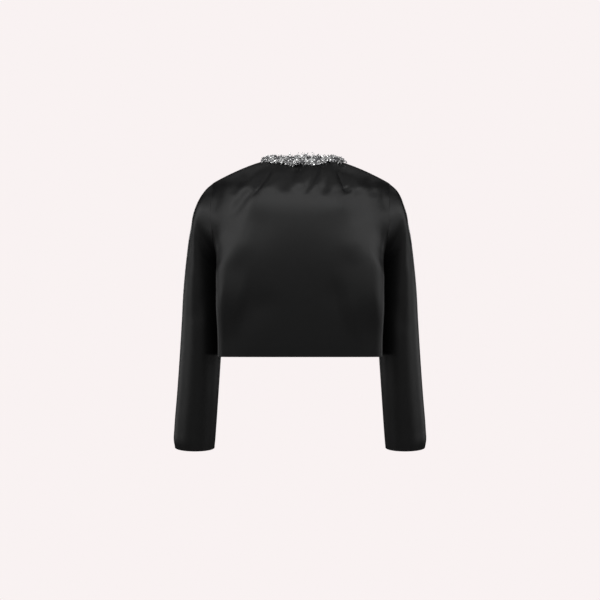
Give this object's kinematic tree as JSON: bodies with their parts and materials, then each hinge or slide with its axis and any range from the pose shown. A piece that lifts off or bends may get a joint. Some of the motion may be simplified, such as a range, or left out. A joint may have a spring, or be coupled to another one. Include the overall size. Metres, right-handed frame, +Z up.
{
  "type": "evening jacket",
  "caption": "Cropped black satin evening jacket, hollow as if worn, with long set-in sleeves hanging at the sides and a round neck edged with clustered silver crystals",
  "frame": {"origin": "on the centre plane, level with the shoulders beside the neck, where the wearer's shoulders carry the jacket", "axes": "+Z up, +Y towards the garment's front, +X towards the wearer's right"},
  "size_m": [0.5708, 0.2606, 0.6627],
  "materials": {
    "satin": "black satin with a soft broad sheen",
    "crystal": "silver-backed crystals and beads in irregular clusters"
  },
  "bodies": {
    "root": {"back": "satin", "front_left": "satin", "front_right": "satin", "sleeve_left": "satin", "sleeve_right": "satin", "neck_trim": "crystal"}
  },
  "joints": []
}
